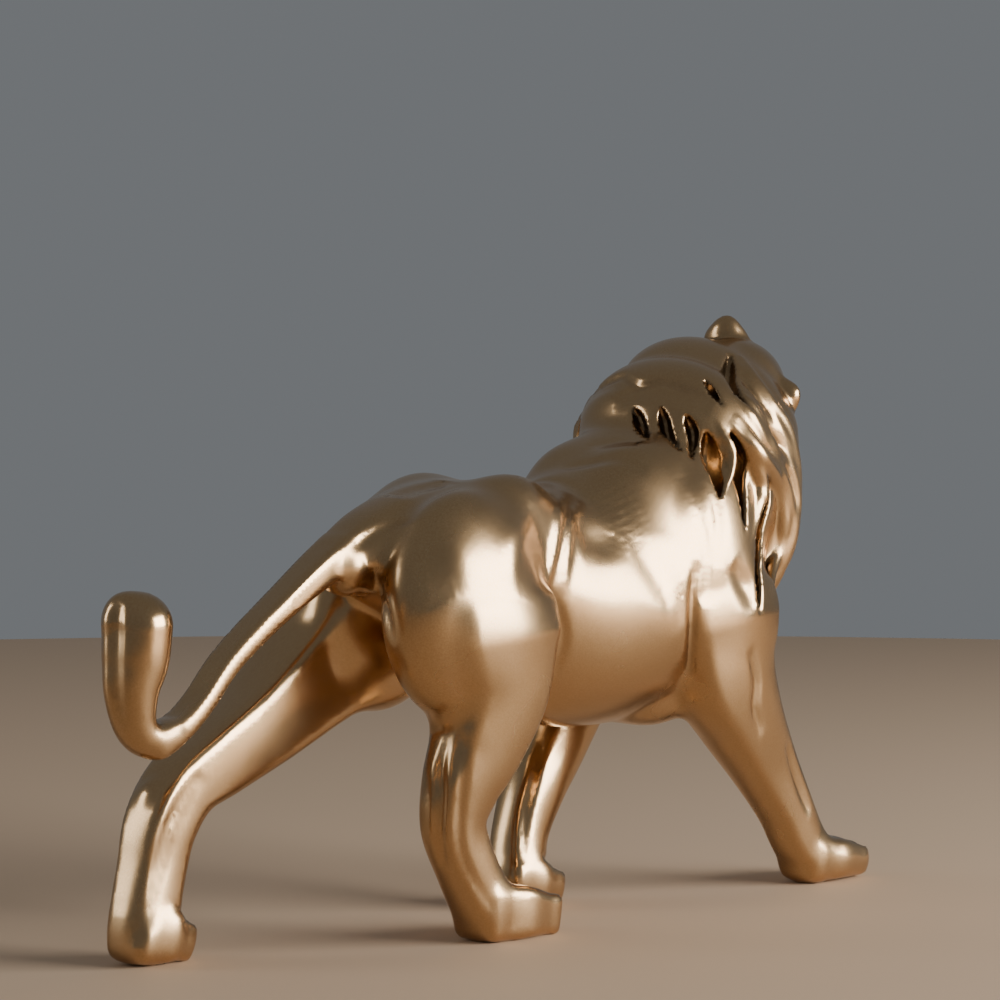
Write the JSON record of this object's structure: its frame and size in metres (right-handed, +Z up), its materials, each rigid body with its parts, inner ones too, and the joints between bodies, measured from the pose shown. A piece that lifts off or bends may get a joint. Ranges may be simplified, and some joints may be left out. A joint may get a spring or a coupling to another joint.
{
  "type": "lion statuette",
  "caption": "Table-top statuette of a striding lion with a turned, rolled head, flowing mane and raised tail tuft, cast in one piece with a bronze-coloured metallic finish.",
  "frame": {"origin": "middle of the overall length and width, on the floor that the four soles stand on", "axes": "+X towards the head, +Y to the lion's left, +Z up"},
  "size_m": [0.3271, 0.0806, 0.1911],
  "materials": {
    "bronze_lacquer": "satin bronze metallic lacquer over cast resin"
  },
  "bodies": {
    "root": {"lion": "bronze_lacquer"}
  },
  "joints": []
}
